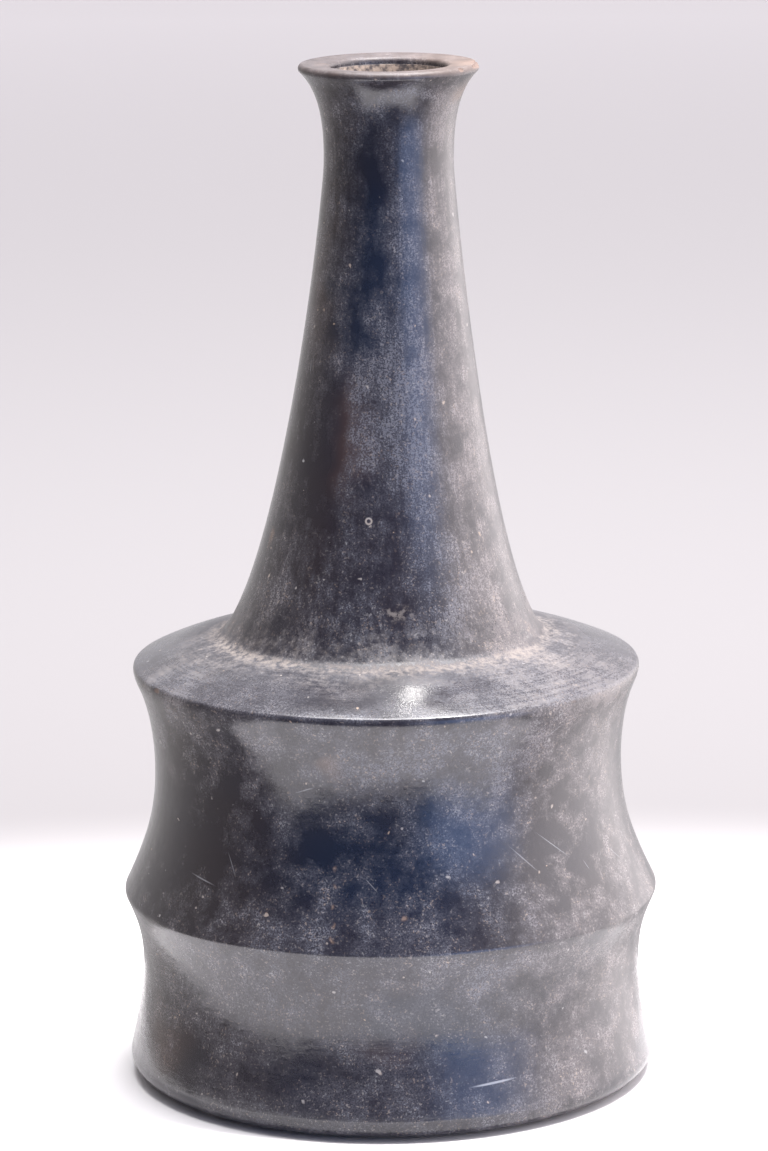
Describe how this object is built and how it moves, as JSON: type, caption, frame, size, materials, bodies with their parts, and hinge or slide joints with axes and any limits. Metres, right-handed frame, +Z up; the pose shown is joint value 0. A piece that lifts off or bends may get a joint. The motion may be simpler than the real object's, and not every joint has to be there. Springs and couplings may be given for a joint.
{
  "type": "burnished pottery jar",
  "caption": "Tall-necked jar of black burnished earthenware with a waisted drum body, ridged belly, flat shoulder and flared lip, for holding and pouring liquid.",
  "frame": {"origin": "on the ground under the middle of the jar, at the centre of its ridge", "axes": "+Z up through the neck, -Y towards the viewer of the picture, +X to the viewer's right"},
  "size_m": [0.14, 0.14, 0.2665],
  "materials": {
    "burnished_earthenware": "near-black fired clay, burnished to a soft shine, with pale grains, fine scratches, tan wear on the edges and a thin cream deposit on the shoulder"
  },
  "bodies": {
    "root": {"jar": "burnished_earthenware"}
  },
  "joints": []
}
